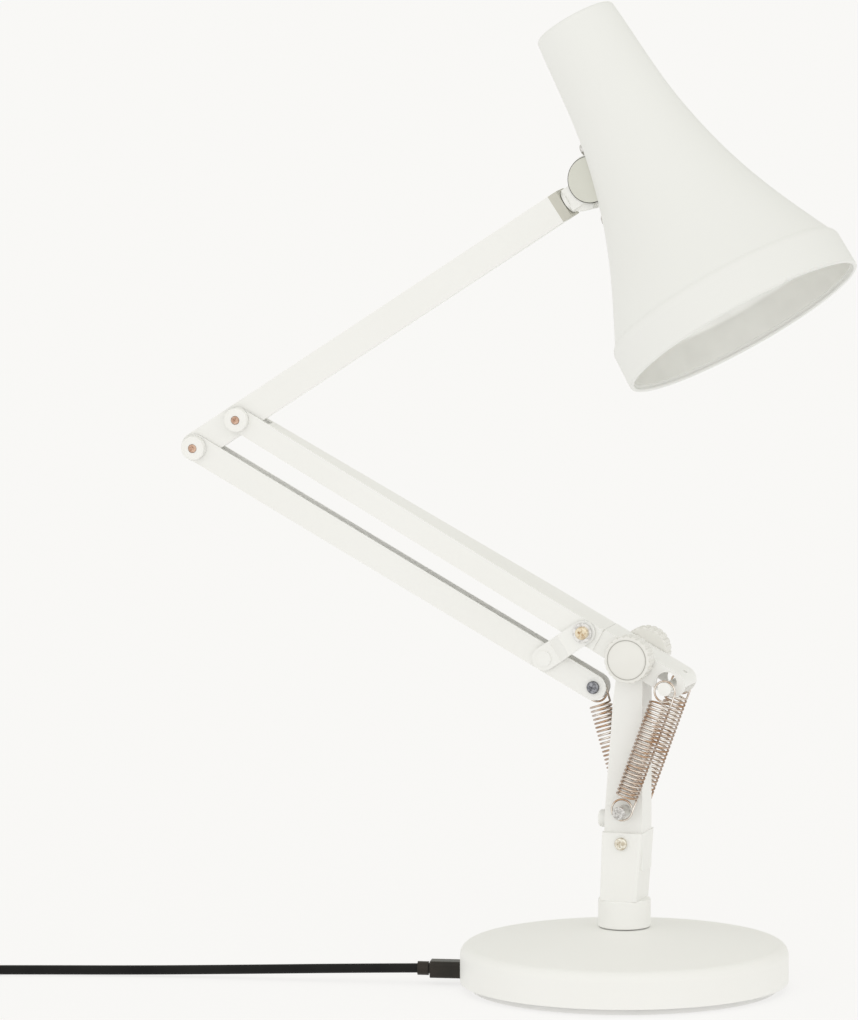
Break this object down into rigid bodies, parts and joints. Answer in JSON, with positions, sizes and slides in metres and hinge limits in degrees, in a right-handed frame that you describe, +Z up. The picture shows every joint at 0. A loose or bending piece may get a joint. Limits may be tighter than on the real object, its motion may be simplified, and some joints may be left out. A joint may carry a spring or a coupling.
{
  "type": "balanced arm desk lamp",
  "caption": "Small spring-balanced desk lamp: round weighted base, swivelling post, parallel arm with pull springs, tilting bell shade and a wired USB plug.",
  "frame": {"origin": "centre of the foot pad's underside, on the table", "axes": "+Z up along the swivel axis; the arms lie in the XZ plane with the elbow towards -X and the shade towards +X"},
  "size_m": [0.3871, 0.2045, 0.3622],
  "materials": {
    "cream_paint": "satin warm white powder coat",
    "knob_plastic": "satin warm white moulding",
    "white_plastic": "satin white moulding",
    "grey_plastic": "satin light grey moulding",
    "black_plastic": "satin black moulding",
    "cable_jacket": "satin black jacket",
    "spring_steel": "plated spring wire",
    "steel": "plated steel",
    "gold_screw": "yellow passivated screw",
    "copper_screw": "copper coloured screw",
    "cast_weight": "rough casting",
    "foot_rubber": "smooth grey foam rubber",
    "circuit_board": "green solder resist",
    "lamp_aluminium": "as cast",
    "shade_lining": "satin silver",
    "diffuser": "opal",
    "bush": "natural acetal"
  },
  "bodies": {
    "base": {"foot_pad": "foot_rubber", "base_weight": "cast_weight", "base_cover": "cream_paint", "cover_screws": "steel", "driver_board": "circuit_board", "swivel_bush": "bush", "cable_boot": "black_plastic", "cable": "cable_jacket", "cable_coil": "cable_jacket", "plug_grip": "black_plastic", "plug_shell": "steel"},
    "post": {"post_collar": "cream_paint", "swivel_stud": "steel", "post_block": "cream_paint", "post_channel": "cream_paint", "block_screw": "gold_screw", "block_washers": "cream_paint", "spring_pin": "steel", "stop_screw": "cream_paint", "post_lead": "cable_jacket", "shoulder_bolt": "steel", "friction_washers": "bush"},
    "knob_near": {"near_knob": "knob_plastic"},
    "knob_far": {"far_knob": "knob_plastic"},
    "main_arm": {"main_bar": "cream_paint", "shoulder_bracket": "cream_paint", "link_screw": "gold_screw", "link_washer": "white_plastic", "tail_pin": "white_plastic", "elbow_pin": "copper_screw", "elbow_discs": "white_plastic", "main_lead": "cable_jacket"},
    "link": {"link_plate": "cream_paint", "link_rivet": "cream_paint"},
    "tie": {"tie_bar": "cream_paint", "tie_pin": "copper_screw", "tie_discs": "white_plastic", "centre_spring_pin": "steel"},
    "forearm": {"forearm_tube": "cream_paint", "forearm_plug": "grey_plastic", "forearm_lead": "cable_jacket"},
    "neck": {"head_neck": "cream_paint"},
    "head": {"shade_shell": "cream_paint", "shade_screws": "steel", "shade_lining": "shade_lining", "friction_discs": "grey_plastic", "tilt_bolt": "steel", "disc_bracket": "steel", "heat_sink": "lamp_aluminium", "led_board": "white_plastic", "diffuser": "diffuser", "switch_body": "black_plastic"},
    "button": {"switch_button": "grey_plastic"},
    "outer_coils": {"outer_springs": "spring_steel"},
    "outer_ends": {"outer_spring_tops": "spring_steel"},
    "centre_foot": {"centre_spring_foot": "spring_steel"},
    "centre_low": {"centre_spring_low": "spring_steel"},
    "centre_high": {"centre_spring_high": "spring_steel"},
    "centre_top": {"centre_spring_top": "spring_steel"}
  },
  "joints": [
    {"name": "post_swivel", "type": "hinge", "parent": "base", "child": "post", "pos_m": [0, 0, 0.034], "axis": [0, 0, 1], "range_deg": [-170, 170]},
    {"name": "near_knob_turn", "type": "hinge", "parent": "post", "child": "knob_near", "pos_m": [0.005, 0, 0.1237], "axis": [0, 1, 0], "range_deg": [-180, 180]},
    {"name": "far_knob_turn", "type": "hinge", "parent": "post", "child": "knob_far", "pos_m": [0.005, 0, 0.1237], "axis": [0, 1, 0], "range_deg": [-180, 180]},
    {"name": "shoulder", "type": "hinge", "parent": "post", "child": "main_arm", "pos_m": [0.005, 0, 0.1237], "axis": [0, 1, 0], "range_deg": [-30, 30], "deforming": ["outer_springs", "outer_spring_tops", "centre_spring_foot", "centre_spring_low", "centre_spring_high", "centre_spring_top"]},
    {"name": "elbow", "type": "hinge", "parent": "main_arm", "child": "forearm", "pos_m": [-0.14727, 0, 0.2037], "axis": [0, -1, 0], "range_deg": [-10, 40], "deforming": ["centre_spring_foot", "centre_spring_low", "centre_spring_high", "centre_spring_top"]},
    {"name": "link_turn", "type": "hinge", "parent": "main_arm", "child": "link", "pos_m": [-0.01312, 0, 0.13222], "axis": [0, -1, 0], "range_deg": [-10.5, 40.5]},
    {"name": "tie_turn", "type": "hinge", "parent": "forearm", "child": "tie", "pos_m": [-0.16381, 0, 0.19246], "axis": [0, -1, 0], "range_deg": [-40.5, 10.5]},
    {"name": "head_swivel", "type": "hinge", "parent": "forearm", "child": "neck", "pos_m": [-0.0232, 0, 0.28801], "axis": [0.8271, 0, 0.5621], "range_deg": [-80, 80]},
    {"name": "head_tilt", "type": "hinge", "parent": "neck", "child": "head", "pos_m": [-0.01207, 0.00024, 0.29761], "axis": [-0.0806, -0.9897, 0.1185], "range_deg": [-15, 50]},
    {"name": "switch_press", "type": "slide", "parent": "head", "child": "button", "axis": [0.5454, -0.1433, -0.8258], "range_m": [0, 0.0012], "stiffness_N_per_m": 300, "springref_m": -0.0003},
    {"name": "outer_lean", "type": "hinge", "parent": "post", "child": "outer_coils", "pos_m": [0.0019, 0, 0.0668], "axis": [0, 1, 0], "range_deg": [-3.2, 3.2]},
    {"name": "outer_reach", "type": "slide", "parent": "outer_coils", "child": "outer_ends", "axis": [0.3424, 0, 0.9396], "range_m": [-0.00807, 0.00807]},
    {"name": "centre_lean", "type": "hinge", "parent": "post", "child": "centre_foot", "pos_m": [0.0019, 0, 0.0668], "axis": [0, 1, 0], "range_deg": [-5, 5]},
    {"name": "centre_swing", "type": "hinge", "parent": "centre_foot", "child": "centre_low", "pos_m": [0.0019, 0, 0.0668], "axis": [0, 1, 0], "range_deg": [-3.19, 11.27]},
    {"name": "centre_reach", "type": "slide", "parent": "centre_low", "child": "centre_high", "axis": [-0.2821, 0, 0.9594], "range_m": [-0.00944, 0.00944]},
    {"name": "centre_draw", "type": "slide", "parent": "centre_high", "child": "centre_top", "axis": [-0.2821, 0, 0.9594], "range_m": [-0.01077, 0.00292]}
  ],
  "couplings": [
    {"joint": "link_turn", "follows": "elbow", "ratio": 1},
    {"joint": "tie_turn", "follows": "elbow", "ratio": -1},
    {"joint": "outer_lean", "follows": "shoulder", "ratio": -0.09},
    {"joint": "outer_reach", "follows": "shoulder", "m_per_rad": -0.014833},
    {"joint": "centre_lean", "follows": "shoulder", "ratio": -0.15},
    {"joint": "centre_swing", "follows": "elbow", "ratio": 0.26936},
    {"joint": "centre_reach", "follows": "shoulder", "m_per_rad": 0.01745},
    {"joint": "centre_draw", "follows": "elbow", "m_per_rad": -0.014993}
  ]
}
